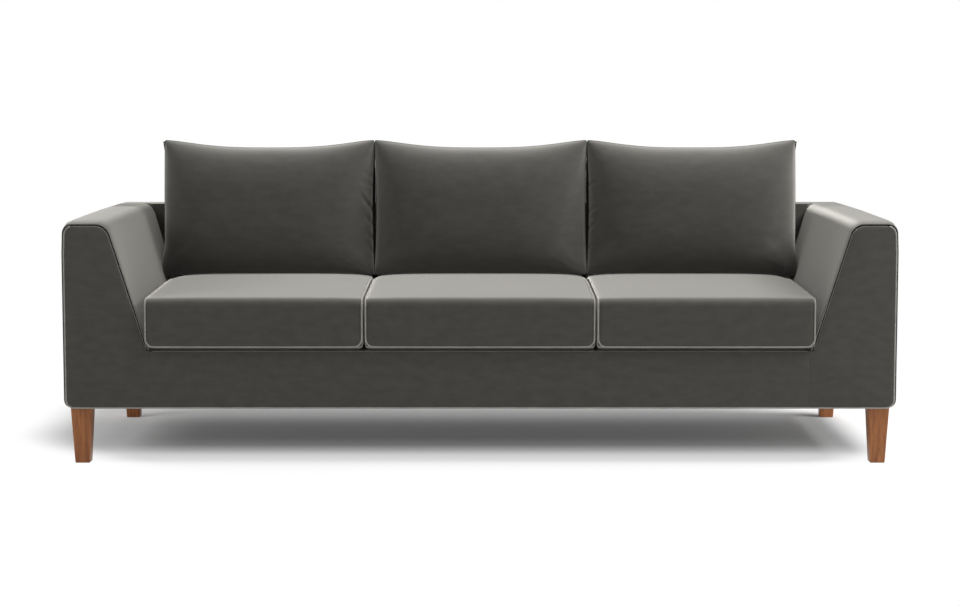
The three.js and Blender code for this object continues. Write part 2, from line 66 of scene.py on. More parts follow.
# Studio: a white floor that shows the sofa's shadow near it and is plain white further out, with
# a wide soft light overhead, lamps on both sides, a weak one in front and an even fill. Painted
# shade deepens the shadow beside the sofa's right end, a painted glow lifts the shadow under the
# sofa, and painted white fades the shadow out on all sides. The camera sees all three, and so do
# mirror and see-through rays.
scene = bpy.context.scene
scene.view_settings.view_transform = "Standard"
studio_white = (1, 1, 1, 1)
fill_strength = 0.31
floor_size = 60
floor_tone = 0.8
# Painted light: a glow over the floor that lifts the sofa's shadow, with a band of stronger glow under
# the sofa's rear.
painted_shadow_lift = 0.08
painted_rear_lift, rear_lift_at, rear_lift_reach = 0.05, 0.42, 0.12
# Painted white over the shadow behind and beside the sofa: where it begins and where it is full, and the
# depth in front of which the side fade comes in sooner, rounding the front corners.
rear_fade_from, rear_fade_to = 0.65, 1.1
side_fade_from, side_fade_to = 1.17, 1.385
corner_from = 0.15
# Painted shade beside the sofa's right end: how dark it is, where across the floor and how wide, and the
# depths where it comes in and goes out.
painted_side_shade, side_shade_at, side_shade_reach = 0.55, 1.045, 0.06
side_shade_from, side_shade_to = -0.45, -0.30
side_shade_ends_from, side_shade_ends_to = 0.42, 0.60
# In front of the sofa the shadow is faded by painted white: depths on the floor, and how far the shadow
# has faded at each.
painted_front_fade = (
    (-0.64, 1),
    (-0.47, 0.78),
    (-0.385, 0.63),
    (-0.30, 0.54),
    (-0.217, 0.25),
    (-0.129, 0.06),
    (0, 0),
)


def joined(tree, socket, value):
    """Sets a socket to a plain value or colour, or links another node or one of its outputs to it."""
    if isinstance(value, bpy.types.Node):
        value = value.outputs[0]
    if isinstance(value, bpy.types.NodeSocket):
        tree.links.new(value, socket)
    else:
        socket.default_value = value


def shader_node(tree, kind, *values, **named_values):
    """A new node with its inputs set, in order or by name with a _ for each space."""
    node = tree.nodes.new("ShaderNode" + kind)
    for socket, value in zip(node.inputs, values):
        joined(tree, socket, value)
    for name, value in named_values.items():
        joined(tree, node.inputs[name.replace("_", " ")], value)
    return node


def blank_finish(name):
    """A new material with an empty node tree, and the place on the piece that its pattern follows."""
    material = bpy.data.materials.new(name)
    material.use_nodes = True
    tree = material.node_tree
    tree.nodes.clear()
    return material, tree, shader_node(tree, "TexCoord").outputs["Object"]


def reckoned(tree, operation, *terms):
    """The result of a sum on other nodes' outputs and plain numbers."""
    node = shader_node(tree, "Math", *terms)
    node.operation = operation
    return node.outputs[0]


def product(tree, first, *factors):
    """Several values multiplied."""
    for factor in factors:
        first = reckoned(tree, "MULTIPLY", first, factor)
    return first


def rest_of(tree, share):
    """What a share leaves of 1."""
    return reckoned(tree, "SUBTRACT", 1, share)


def stepped(tree, value, low, high):
    """0 below the low value, 1 above the high one and an even curve between them."""
    node = shader_node(tree, "MapRange", value, From_Min=low, From_Max=high)
    node.interpolation_type = "SMOOTHSTEP"
    return node.outputs[0]


def peaked(tree, value, at, reach):
    """1 where the value is at the given place and falling to 0 in a bell curve on both its sides."""
    off = reckoned(tree, "DIVIDE", reckoned(tree, "SUBTRACT", value, at), reach)
    return reckoned(tree, "POWER", math.e, product(tree, off, off, -1))


def toned(tree, value, stops):
    """The colour at a value, between stops that each hold a value and a colour."""
    ramp = shader_node(tree, "ValToRGB", value)
    while len(ramp.color_ramp.elements) < len(stops):
        ramp.color_ramp.elements.new(0.5)
    for stop, (at, colour) in zip(ramp.color_ramp.elements, stops):
        stop.position = at
        stop.color = (*colour, 1)
    return ramp.outputs[0]


def seen_directly(tree):
    """1 for rays from the camera and for mirror and see-through rays, else 0."""
    path = shader_node(tree, "LightPath")
    camera_ray, glossy, through = (
        path.outputs[f"Is {kind} Ray"] for kind in ("Camera", "Glossy", "Transmission")
    )
    return reckoned(tree, "MAXIMUM", camera_ray, reckoned(tree, "MAXIMUM", glossy, through))


world = bpy.data.worlds.new("studio")
scene.world = world
world.use_nodes = True
tree = world.node_tree
tree.nodes.clear()
fill = shader_node(tree, "Background", Color=studio_white, Strength=fill_strength)
backdrop = shader_node(tree, "Background", Color=studio_white)
shader_node(tree, "OutputWorld", shader_node(tree, "MixShader", seen_directly(tree), fill, backdrop))

bpy.ops.object.select_all(action="DESELECT")
bpy.ops.mesh.primitive_plane_add(size=floor_size)
floor = bpy.context.object
floor.name = "floor"
floor_finish, tree, place = blank_finish("floor_finish")
along_sofa, depth, _ = shader_node(tree, "SeparateXYZ", place).outputs
seen = seen_directly(tree)

# Painted shade: the floor's colour is darker beside the sofa's right end.
painted_right_shade = product(
    tree,
    peaked(tree, along_sofa, side_shade_at, side_shade_reach),
    stepped(tree, depth, side_shade_from, side_shade_to),
    rest_of(tree, stepped(tree, depth, side_shade_ends_from, side_shade_ends_to)),
)
unshaded = rest_of(tree, product(tree, painted_right_shade, painted_side_shade, seen))
paint = shader_node(tree, "BsdfDiffuse", product(tree, unshaded, floor_tone))
# Painted light: the floor glows by the lift and the rear band, less where the painted shade is.
painted_rear_glow = product(tree, peaked(tree, depth, rear_lift_at, rear_lift_reach), painted_rear_lift)
lift = reckoned(tree, "ADD", painted_shadow_lift, painted_rear_glow)
glow = shader_node(tree, "Emission", Strength=product(tree, lift, unshaded, seen))
lit = shader_node(tree, "AddShader", paint, glow)

# Painted white: mixed over the shadow in front of, beside and behind the sofa.
ahead = reckoned(tree, "MAXIMUM", reckoned(tree, "SUBTRACT", corner_from, depth), 0)
beside = reckoned(tree, "ADD", reckoned(tree, "ABSOLUTE", along_sofa), product(tree, ahead, ahead))
fade_start = painted_front_fade[0][0]
fade_length = painted_front_fade[-1][0] - fade_start
stops = [((at - fade_start) / fade_length, (level, level, level)) for at, level in painted_front_fade]
in_front = reckoned(tree, "DIVIDE", reckoned(tree, "SUBTRACT", depth, fade_start), fade_length)
shadow_left = product(
    tree,
    rest_of(tree, toned(tree, in_front, stops)),
    rest_of(tree, stepped(tree, beside, side_fade_from, side_fade_to)),
    rest_of(tree, stepped(tree, depth, rear_fade_from, rear_fade_to)),
)
faded = product(tree, rest_of(tree, shadow_left), seen)
white = shader_node(tree, "Emission", Color=studio_white)
shader_node(tree, "OutputMaterial", shader_node(tree, "MixShader", faded, lit, white))
floor.data.materials.append(floor_finish)


def lamp(name, place, towards, size, watts):
    """A soft square lamp at a place, turned towards a point."""
    data = bpy.data.lights.new(name, "AREA")
    data.size = size
    data.energy = watts
    light = bpy.data.objects.new(name, data)
    light.location = place
    light.rotation_euler = (Vector(towards) - Vector(place)).to_track_quat("-Z", "Y").to_euler()
    scene.collection.objects.link(light)


lamp("overhead", (0.2, 0.1, 3.4), (0, 0, 0), 3.6, 15)
lamp("high_right", (2.9, -0.6, 3.2), (0, 0, 0.4), 1.8, 172)
lamp("low_left", (-3.2, -1.2, 2.2), (0, 0, 0.4), 1.6, 32)
lamp("front", (-0.4, -3.4, 2.4), (0, 0, 0.2), 2.4, 6)

# Velvet: short dense pile, a warm charcoal that turns pale where it is seen edge on.
# Brushing by hand leaves soft cloudy marks and fine streaks in it. The welts that show a bright
# line of sheen get a much paler copy of it, a painted highlight that stands in for that line of light.
def velvet(name, dark, light):
    """Velvet, between a dark and a light tone."""
    material, tree, place = blank_finish(name)
    streaks = shader_node(tree, "Mapping", place, Scale=(1, 1, 2.2))
    clouds = shader_node(tree, "TexNoise", Vector=streaks, Scale=22, Detail=5, Roughness=0.55)
    pile = shader_node(tree, "TexNoise", Vector=place, Scale=700, Detail=2)
    cloth = shader_node(
        tree,
        "BsdfPrincipled",
        Base_Color=toned(tree, clouds, ((0.35, dark), (0.68, light))),
        Roughness=0.85,
        Specular_IOR_Level=0.15,
        Sheen_Weight=1,
        Sheen_Roughness=0.5,
        Sheen_Tint=(0.95, 0.925, 0.86, 1),
        Normal=shader_node(tree, "Bump", Strength=0.25, Distance=0.0006, Height=pile),
    )
    shader_node(tree, "OutputMaterial", cloth)
    return material


upholstery = velvet("upholstery_velvet", (0.042, 0.0397, 0.0353), (0.054, 0.0510, 0.0454))
# Painted highlight: a paler copy of the velvet for the welts that show a bright line of sheen.
painted_highlight_velvet = velvet("painted_highlight_welt", (0.22, 0.211, 0.193), (0.29, 0.278, 0.253))

# Rail panel: the band of padded velvet over the front rail, between the two arm panels.
# Its ends are sewn to them, and its foot carries the welt that runs round the sofa's front.
rail_low, rail_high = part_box("front_rail_cover")
front_plane, panel_back = rail_low.y, rail_high.y
base_foot, deck_top = rail_low.z, rail_high.z
seam_side = rail_high.x
seam_roll = 0.0015
rail_crown = 0.0008
rail_crown_margins = (0.004, 0.02)


def only(piece):
    """Leaves one piece selected and active."""
    bpy.ops.object.select_all(action="DESELECT")
    piece.select_set(True)
    bpy.context.view_layer.objects.active = piece


@contextmanager
def opened(piece):
    """Edit mode on one piece, which ends with the block."""
    only(piece)
    bpy.ops.object.mode_set(mode="EDIT")
    yield
    bpy.ops.object.mode_set(mode="OBJECT")


def panel(name, outline, front, rear):
    """A flat panel: a front-view outline of (x, z) corners, extruded from front to rear."""
    bpy.ops.object.select_all(action="DESELECT")
    bpy.ops.mesh.primitive_circle_add(vertices=len(outline), fill_type="NGON", enter_editmode=True)
    piece = bpy.context.object
    piece.name = name
    mesh = bmesh.from_edit_mesh(piece.data)
    mesh.verts.ensure_lookup_table()
    ring = [loop.vert for loop in mesh.faces[:][0].loops]
    for vert, (x, z) in zip(ring, outline):
        vert.co = (x, front, z)
    bmesh.update_edit_mesh(piece.data)
    bpy.ops.mesh.select_all(action="SELECT")
    bpy.ops.mesh.extrude_region_move(TRANSFORM_OT_translate={"value": (0, rear - front, 0)})
    bpy.ops.mesh.select_all(action="SELECT")
    bpy.ops.mesh.normals_make_consistent(inside=False)
    bpy.ops.object.mode_set(mode="OBJECT")
    return piece


def oblong(left, foot, right, top):
    """Front-view corners of an upright rectangle."""
    return [(left, foot), (right, foot), (right, top), (left, top)]


def choose(piece, kind, chosen):
    """In edit mode, selects the piece's faces, edges or vertices that the test picks."""
    bpy.ops.mesh.select_mode(type={"faces": "FACE", "edges": "EDGE", "verts": "VERT"}[kind])
    bpy.ops.mesh.select_all(action="DESELECT")
    mesh = bmesh.from_edit_mesh(piece.data)
    for item in getattr(mesh, kind):
        if chosen(item):
            item.select_set(True)
    mesh.select_flush_mode()
    bmesh.update_edit_mesh(piece.data)


def roll_edges(piece, chosen, radius, steps=3, clamp=True):
    """Rounds the edges that the test picks."""
    with opened(piece):
        choose(piece, "edges", chosen)
        bpy.ops.mesh.bevel(offset=radius, segments=steps, affect="EDGES", clamp_overlap=clamp)


def near(value, target, slack=0.0006):
    """True for a value within the slack of its target."""
    return abs(value - target) < slack


def lies_at(edge, y=None, z=None):
    """True for an edge with both its ends at a depth, a height or both."""
    ends = [vert.co for vert in edge.verts]
    return all((y is None or near(p.y, y)) and (z is None or near(p.z, z)) for p in ends)


def faces(direction):
    """A test for large flat faces that look forward (-1) or back (1)."""
    return lambda face: face.normal.y * direction > 0.99 and face.calc_area() > 0.01


def crown_face(piece, chosen, margins, rise):
    """Pads a flat face: rings of the given margins inside its edge, each a little prouder."""
    with opened(piece):
        choose(piece, "faces", chosen)
        for margin in margins:
            bpy.ops.mesh.inset(thickness=margin, depth=rise / len(margins))


def dress(piece, material, body, slot_name, *nodes, fill=None):
    """Gives a finished piece its material and smooth shading, puts it on its body and hides the CAD
    nodes that it stands for. The record slot is not used.
    """
    piece.data.materials.clear()
    piece.data.materials.append(material)
    only(piece)
    bpy.ops.object.shade_smooth_by_angle(angle=math.radians(38))
    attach(piece, body)
    if nodes:
        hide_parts(*nodes)


rail_panel = panel(
    "front_rail_panel",
    oblong(-seam_side, base_foot, seam_side, deck_top),
    front_plane,
    panel_back,
)
roll_edges(
    rail_panel,
    lambda e: lies_at(e, y=front_plane) and near(e.verts[0].co.z, e.verts[1].co.z),
    seam_roll,
)
crown_face(rail_panel, faces(-1), rail_crown_margins, rail_crown)
dress(rail_panel, upholstery, "frame", "velvet", "front_rail_cover", fill=1)

# Arm panels: the padded wedge on the front of each arm. The padding swells a little past the
# frame's side and leans in at the top. The corners are rounded, and a welt runs round them.
arm_low, arm_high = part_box("right_arm_front_cover")
half_width, arm_top = arm_high.x, arm_high.z
padding_bulge = 0.0047
arm_top_width = 0.117
arm_foot_width = 0.226
side_leans_from = 0.57
side_lean = 0.003
arm_outer_radius = 0.024
arm_inner_radius = 0.028
arm_foot_radius = 0.022
panel_inset = 0.0062
arm_crown = 0.0016
arm_crown_margins = (0.003, 0.006)
welt_radius = 0.0021
arm_slope = (arm_foot_width - arm_top_width) / (arm_top - deck_top)


def arm_inner(z):
    """How far from the middle the sloping inner side of an arm is, at a height."""
    return half_width - arm_top_width - (arm_top - z) * arm_slope


def arm_outline(inset, top, foot_inner):
    """Front-view corners of the right arm, drawn in by an inset at its top, slope and outer side."""
    slope_inset = inset * math.hypot(1, arm_slope)
    outer = half_width + padding_bulge - inset
    return [
        (foot_inner, base_foot),
        (outer, base_foot),
        (outer, side_leans_from),
        (outer - side_lean, top - inset),
        (arm_inner(top - inset) + slope_inset, top - inset),
        (arm_inner(deck_top) + slope_inset, deck_top),
        (foot_inner, deck_top),
    ]


def runs_back(edge, x, z):
    """True for an edge that runs from front to rear through a front-view corner."""
    a, b = (v.co for v in edge.verts)
    return all(near(p.x, x) and near(p.z, z) for p in (a, b)) and abs(a.y - b.y) > 0.001


def mirrored(piece, name):
    """A copy of a piece on the sofa's other side, with a mesh of its own."""
    copy = bpy.data.objects.new(name, piece.data.copy())
    scene.collection.objects.link(copy)
    copy.data.transform(Matrix.Scale(-1, 4, (1, 0, 0)))
    copy.data.flip_normals()
    return copy


outline = arm_outline(panel_inset, arm_top, arm_low.x)
arm_panel = panel("right_arm_panel", outline, front_plane, panel_back)
for corner, radius in zip(outline[1:5], (arm_foot_radius, None, arm_outer_radius, arm_inner_radius)):
    if radius:
        roll_edges(arm_panel, lambda e: runs_back(e, *corner), radius, 8)
roll_edges(
    arm_panel,
    lambda e: lies_at(e, y=front_plane) and any(v.co.x > arm_low.x + 0.001 for v in e.verts),
    seam_roll,
)
crown_face(arm_panel, faces(-1), arm_crown_margins, arm_crown)
dress(arm_panel, upholstery, "frame", "velvet", "right_arm_front_cover", fill=1)
left_panel = mirrored(arm_panel, "left_arm_panel")
dress(left_panel, upholstery, "frame", "velvet", "left_arm_front_cover", fill=1)

# A welt runs along each arm panel's foot and up its outer side, and another one along the
# rail panel's foot. Over the arm's top and down its slope the seam is an open groove.
welt_rise = 0.0006
welt_y = front_plane + welt_rise


def rounded_route(corners, closed=True, steps=8):
    """Points along a route in space whose corners (place, radius) are rounded."""
    points = []
    last = len(corners) - 1
    for i, (here, radius) in enumerate(corners):
        here = Vector(here)
        if not radius or (not closed and i in (0, last)):
            points.append(here)
            continue
        before = (Vector(corners[i - 1][0]) - here).normalized()
        after = (Vector(corners[(i + 1) % len(corners)][0]) - here).normalized()
        half = before.angle(after) / 2
        centre = here + (before + after).normalized() * radius / math.sin(half)
        start = here + before * radius / math.tan(half) - centre
        axis = before.cross(after).normalized()
        for k in range(steps + 1):
            turn = -(math.pi - 2 * half) * k / steps
            points.append(centre + Matrix.Rotation(turn, 3, axis) @ start)
    return points


def welt(name, path, radius, closed=True):
    """A thin sewn welt along a path of points, as a tube with rounded section."""
    curve = bpy.data.curves.new(name, "CURVE")
    curve.dimensions = "3D"
    curve.bevel_depth = radius
    curve.bevel_resolution = 2
    curve.use_fill_caps = not closed
    line = curve.splines.new("POLY")
    line.points.add(len(path) - 1)
    for point, place in zip(line.points, path):
        point.co = (*place, 1)
    line.use_cyclic_u = closed
    piece = bpy.data.objects.new(name, curve)
    scene.collection.objects.link(piece)
    only(piece)
    bpy.ops.object.convert(target="MESH")
    return bpy.context.object


rim = arm_outline(panel_inset, arm_top, arm_low.x)
radii = (0, arm_foot_radius, 0, arm_outer_radius, arm_inner_radius, 0, 0)
rim_path = rounded_route([((x, welt_y, z), radius) for (x, z), radius in zip(rim, radii)], steps=6)
turn = next(i for i, (x, y, z) in enumerate(rim_path) if z > arm_top - panel_inset - welt_radius)
# The arm and rail welts take the velvet with painted highlight.
right_welt = welt("right_arm_welt", rim_path[: turn + 1], welt_radius, closed=False)
dress(right_welt, painted_highlight_velvet, "frame", "velvet")
left_welt = mirrored(right_welt, "left_arm_welt")
dress(left_welt, painted_highlight_velvet, "frame", "velvet")
rail_welt = welt(
    "front_rail_welt",
    [(-seam_side, welt_y, base_foot), (seam_side, welt_y, base_foot)],
    welt_radius,
    closed=False,
)
dress(rail_welt, painted_highlight_velvet, "frame", "velvet")

# Arm wraps: one padded length of velvet over each arm's outer side, top and inner slope. Its
# front edge is a rim round the arm panel, with an open groove between them. The top rises in
# a gentle curve to the back, where it meets the back's top in a mitred seam.
wrap_low, wrap_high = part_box("right_arm_wrap")
back_top, rear_plane = wrap_high.z, wrap_high.y
wrap_setback = 0.0025
wrap_front = front_plane + wrap_setback
wrap_roll = 0.0004
rim_width = 0.0028
back_top_depth = 0.114
back_foot_depth = 0.144
back_top_front = rear_plane - back_top_depth
back_foot_front = rear_plane - back_foot_depth
top_roll = 0.024
seam_gap = 0.0006
tack_drop = 0.002
tack_line = back_top - top_roll - tack_drop
outside_back_depth = 0.010
# Depths along the arm, and how far its top has risen at each.
crown_rises = (
    (-0.42, 0.0068),
    (-0.36, 0.0088),
    (0.015, 0.0152),
    (back_top_front, 0.0174),
    (rear_plane, 0.0174),
)
crest = arm_top + crown_rises[-1][1]

outline = arm_outline(0, arm_top, wrap_low.x)
wrap = panel("right_arm_padding", outline, wrap_front, rear_plane)
with opened(wrap):
    for place, _ in crown_rises:
        bpy.ops.mesh.select_all(action="SELECT")
        bpy.ops.mesh.bisect(plane_co=(0, place, 0), plane_no=(0, 1, 0))
    for place, rise in crown_rises:
        choose(wrap, "verts", lambda v: near(v.co.y, place) and near(v.co.z, arm_top))
        bpy.ops.transform.translate(value=(0, 0, rise))


def along_arm(edge, chosen):
    """True for an edge that runs along the arm, if the test picks both its ends."""
    a, b = (v.co for v in edge.verts)
    return abs(a.y - b.y) > 0.02 and chosen(a) and chosen(b)


def on_top(p):
    """True for a place at the height of the arm's top."""
    return p.z > arm_top - 0.001


top_middle = half_width - arm_top_width / 2
roll_edges(wrap, lambda e: along_arm(e, lambda p: on_top(p) and p.x > top_middle), arm_outer_radius, 6)
roll_edges(
    wrap,
    lambda e: along_arm(e, lambda p: on_top(p) and p.x < top_middle and p.x > arm_inner(arm_top) - 0.01),
    arm_inner_radius,
    6,
)
roll_edges(
    wrap,
    lambda e: along_arm(e, lambda p: near(p.z, base_foot) and p.x > half_width),
    arm_foot_radius,
    6,
)


def block(low, high):
    """A box between two corners."""
    bpy.ops.object.select_all(action="DESELECT")
    middle = [(a + b) / 2 for a, b in zip(low, high)]
    bpy.ops.mesh.primitive_cube_add(size=1, location=middle, scale=[b - a for a, b in zip(low, high)])
    bpy.ops.object.transform_apply(location=True, rotation=True, scale=True)
    return bpy.context.object


def cut_with(piece, cutter):
    """Cuts the cutter's shape out of a piece and removes the cutter."""
    only(piece)
    cut = piece.modifiers.new("cut", "BOOLEAN")
    cut.operation = "DIFFERENCE"
    cut.solver = "EXACT"
    cut.object = cutter
    bpy.ops.object.modifier_apply(modifier=cut.name)
    bpy.data.objects.remove(cutter)


def trimmed(piece, low, high, turn=0.0, about=(0, 0, 0)):
    """Cuts a block out of a piece. The block may be turned about an upright line."""
    cutter = block(low, high)
    about = Vector(about)
    spin = Matrix.Translation(about) @ Matrix.Rotation(turn, 4, "Z") @ Matrix.Translation(-about)
    cutter.data.transform(spin)
    cut_with(piece, cutter)


inner_corner = Vector((arm_inner(arm_top), back_top_front, 0))
outer_side = half_width + padding_bulge
outer_corner = Vector((outer_side, rear_plane, 0))
mitre_turn = math.atan2(outer_corner.y - inner_corner.y, outer_corner.x - inner_corner.x)
far = 0.5
wide = 2
above_top = back_top + 0.1
trimmed(
    wrap,
    (inner_corner.x - far, inner_corner.y - seam_gap / 2, back_top - top_roll),
    (inner_corner.x + far, inner_corner.y + far, above_top),
    mitre_turn,
    inner_corner,
)
trimmed(wrap, (0, rear_plane - outside_back_depth - seam_gap, 0), (wide, rear_plane + far, tack_line))
roll_edges(
    wrap,
    lambda e: all(near(v.co.y, wrap_front, 0.0002) for v in e.verts) and e.calc_length() > 0.002,
    wrap_roll,
    2,
)
with opened(wrap):
    choose(wrap, "faces", faces(-1))
    bpy.ops.mesh.inset(thickness=rim_width, depth=wrap_front - panel_back - seam_gap)
dress(wrap, upholstery, "frame", "velvet", "right_arm_wrap", fill=1)
left_wrap = mirrored(wrap, "left_arm_padding")
dress(left_wrap, upholstery, "frame", "velvet", "left_arm_wrap", fill=1)

# Inside back: one padded length of velvet up the face behind the cushions and over the top.
# It stops against the arms' slopes, and its top runs out to the mitred seams.
inside_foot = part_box("inside_back")[0].z
edge_radius = 0.020
inside = panel(
    "inside_back_padding",
    [
        (-outer_side, inside_foot),
        (outer_side, inside_foot),
        (outer_side - side_lean, crest),
        (side_lean - outer_side, crest),
    ],
    back_foot_front,
    rear_plane,
)
roll_edges(
    inside,
    lambda e: lies_at(e, z=crest) and abs(e.verts[0].co.y - e.verts[1].co.y) > 0.02,
    arm_outer_radius,
    6,
)
with opened(inside):
    rolled_from = crest - arm_outer_radius - 0.001
    choose(inside, "verts", lambda v: near(v.co.y, back_foot_front) and v.co.z > rolled_from)
    bpy.ops.transform.translate(value=(0, back_top_front - back_foot_front, 0))
for depth, clamp in ((back_top_front, False), (rear_plane, True)):
    roll_edges(inside, lambda e: lies_at(e, y=depth, z=crest), edge_radius, 6, clamp)
for side in (-1, 1):
    reach = sorted((side * (inner_corner.x - far), side * (inner_corner.x + far)))
    corner = Vector((side * inner_corner.x, inner_corner.y, 0))
    trimmed(
        inside,
        (reach[0], corner.y - far, tack_line),
        (reach[1], corner.y + seam_gap / 2, above_top),
        side * mitre_turn,
        corner,
    )

# Below the roll over the top, it ends at the arms' slopes, where it is pushed into the tuck.
tuck_foot = inside_foot - top_roll
for side in (-1, 1):
    wedge = panel(
        "wedge",
        [
            (side * arm_inner(tuck_foot), tuck_foot),
            (side * (half_width + far), tuck_foot),
            (side * (half_width + far), tack_line),
            (side * arm_inner(tack_line), tack_line),
        ],
        back_foot_front - far,
        rear_plane + far,
    )
    cut_with(inside, wedge)
trimmed(
    inside,
    (-wide, rear_plane - outside_back_depth - seam_gap, 0),
    (wide, rear_plane + far, tack_line),
)
dress(inside, upholstery, "frame", "velvet", "inside_back", fill=1)

# Outside back: a flat panel of velvet over the back of the frame, tacked under the back's top.
# Its upright edges turn forward to the arms, and its foot is turned under the frame.
outside_edge_radius = 0.006
outside_crown = 0.001
outside_crown_margins = (0.006, 0.03)
outside = panel(
    "outside_back_panel",
    oblong(-outer_side, base_foot, outer_side, tack_line - seam_gap),
    rear_plane - outside_back_depth,
    rear_plane,
)
roll_edges(outside, lambda e: lies_at(e, y=rear_plane), outside_edge_radius, 4)
crown_face(outside, faces(1), outside_crown_margins, outside_crown)
dress(outside, upholstery, "frame", "velvet", "outside_back", fill=1)

# Seat deck: the padded velvet platform under the seat cushions, sewn in three bays. Each seam
# between two bays draws it down into a shallow groove.
deck_low, deck_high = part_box("seat_deck")
bay_seam = (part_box("center_seat_cover")[1].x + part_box("right_seat_cover")[0].x) / 2
groove_half_width = 0.006
groove_depth = 0.004
deck = panel(
    "seat_deck_padding",
    oblong(deck_low.x, deck_low.z, deck_high.x, deck_high.z),
    deck_low.y,
    deck_high.y,
)
with opened(deck):
    for seam in (-bay_seam, bay_seam):
        for edge in (-groove_half_width, 0, groove_half_width):
            bpy.ops.mesh.select_all(action="SELECT")
            bpy.ops.mesh.bisect(plane_co=(seam + edge, 0, 0), plane_no=(1, 0, 0))
    choose(deck, "verts", lambda v: near(abs(v.co.x), bay_seam) and near(v.co.z, deck_high.z))
    bpy.ops.transform.translate(value=(0, 0, -groove_depth))
dress(deck, upholstery, "frame", "velvet", "seat_deck", fill=1)

# Legs: square tapered legs of stained brown wood, their arrises eased, with the grain upright.
# A hanger bolt in the top of each one holds it to the frame.
leg_light = (0.39, 0.142, 0.040)
leg_dark = (0.22, 0.070, 0.018)
leg_edge = 0.0035
leg_foot_edge = 0.0025
foot_size = 0.040


def grained(name, light, dark, across, along, gloss, bump_depth):
    """Wood with its grain upright: long bands, fine pores between them and a soft waviness."""
    material, tree, place = blank_finish(name)
    stretch = shader_node(tree, "Mapping", place, Scale=(across, across, along))
    bands = shader_node(
        tree, "TexNoise", Vector=stretch, Scale=1, Detail=6, Roughness=0.65, Distortion=0.6
    )
    wood = shader_node(
        tree,
        "BsdfPrincipled",
        Base_Color=toned(tree, bands, ((0.36, dark), (0.62, light))),
        Roughness=gloss,
        Specular_IOR_Level=0.4,
        Normal=shader_node(tree, "Bump", Strength=0.3, Distance=bump_depth, Height=bands),
    )
    shader_node(tree, "OutputMaterial", wood)
    return material


leg_finish = grained(
    "leg_wood", leg_light, leg_dark, across=170, along=9, gloss=0.42, bump_depth=0.0006
)
for end in ("front", "rear"):
    for side in ("left", "right"):
        node = f"{end}_leg_{side}"
        low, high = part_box(node)
        bpy.ops.object.select_all(action="DESELECT")
        bpy.ops.mesh.primitive_cone_add(
            vertices=4,
            radius1=foot_size / math.sqrt(2),
            radius2=(high.x - low.x) / math.sqrt(2),
            depth=high.z - low.z,
            location=(low + high) / 2,
            rotation=(0, 0, math.pi / 4),
        )
        bpy.ops.object.transform_apply(location=True, rotation=True, scale=True)
        leg = bpy.context.object
        leg.name = f"{side}_{end}_leg"
        roll_edges(leg, lambda e: abs(e.verts[0].co.z - e.verts[1].co.z) > 0.1, leg_edge, 4)
        roll_edges(leg, lambda e: lies_at(e, z=low.z), leg_foot_edge, 3)
        dress(leg, leg_finish, "frame", "leg_wood", node)

# Hidden timber, springs, straps, bolts, foam, filling and the dust cover keep their CAD shapes.
# They are bare sawn pine, drawn steel wire, jute webbing, cream foam and black lining cloth.
pine_light = (0.66, 0.47, 0.27)
pine_dark = (0.50, 0.32, 0.16)
pine = grained("frame_pine", pine_light, pine_dark, across=60, along=60, gloss=0.8, bump_depth=0.0008)


def plain_cloth(name, thread, shadow, pitch):
    """A woven cloth whose threads cross along the sofa and up it."""
    material, tree, place = blank_finish(name)
    weave = shader_node(
        tree, "TexChecker", place, Color1=(*thread, 1), Color2=(*shadow, 1), Scale=1 / pitch
    )
    raised = shader_node(tree, "Bump", Strength=0.3, Distance=pitch / 6, Height=weave.outputs["Fac"])
    cloth = shader_node(tree, "BsdfPrincipled", Base_Color=weave, Roughness=0.95, Normal=raised)
    shader_node(tree, "OutputMaterial", cloth)
    return material


def wire_steel(name):
    """Drawn steel, a little uneven in colour and gloss."""
    material, tree, place = blank_finish(name)
    marks = shader_node(tree, "TexNoise", Vector=place, Scale=120)
    steel = shader_node(
        tree,
        "BsdfPrincipled",
        Base_Color=toned(tree, marks, ((0, (0.32, 0.33, 0.34)), (1, (0.55, 0.56, 0.57)))),
        Metallic=1,
        Roughness=shader_node(tree, "MapRange", marks, To_Min=0.3, To_Max=0.5),
    )
    shader_node(tree, "OutputMaterial", steel)
    return material


slot_finishes = {
    "frame_wood": pine,
    "steel": wire_steel("spring_steel"),
    "webbing": plain_cloth("jute_webbing", (0.16, 0.12, 0.08), (0.09, 0.065, 0.045), 0.003),
    "dust_cloth": plain_cloth("black_lining", (0.018, 0.018, 0.017), (0.009, 0.009, 0.009), 0.001),
    "foam": plain_cloth("cream_foam", (0.80, 0.74, 0.62), (0.72, 0.66, 0.54), 0.002),
    "velvet": upholstery,
    "leg_wood": leg_finish,
}
for part in frame["record"]["subparts"]:
    node = frame["nodes"][part["node"]]
    finish = slot_finishes[part["material_slot"]]
    node.data.materials.clear()
    node.data.materials.append(finish)

# Seat cushions: loose foam cushions in velvet covers. The top panel runs over a round nose and
# down the front, and a thin welt is sewn in all round it.
cushion_names = ("left", "center", "right")
arm_spread = 0.0045
seat_route_inset = Vector((0.0030, 0.0010, 0.0023))
seat_welt_rise = 0.0122
seat_undercut = 0.045
seat_undercut_from = 0.0145
nose_radius = 0.022
seat_foot_radius = 0.022
seat_heel_radius = 0.024
seat_corner_radius = 0.030
heel_welt_inset = 0.3 * seat_foot_radius
heel_welt_from = 0.03
seat_edge_radius = 0.008
seat_voxel = 0.006
seat_crown = 0.005
seat_crown_share = 0.8
seat_front_bulge = 0.003
seat_bulge_share = 0.6
seat_welt_radius = 0.0021
seat_pin_reach = 0.006
cushion_clearance = 0.0012
sim_frames = 12
sim_pressure = 4.0
seat_cap = 0.0015
seat_slack = 0.002
front_sag = 0.0145
corner_sag = 0.0015
sag_reach = 0.5
rear_sag = 0.006
rear_sag_from, rear_sag_reach = -0.02, 0.10
heel_draw = 0.0065
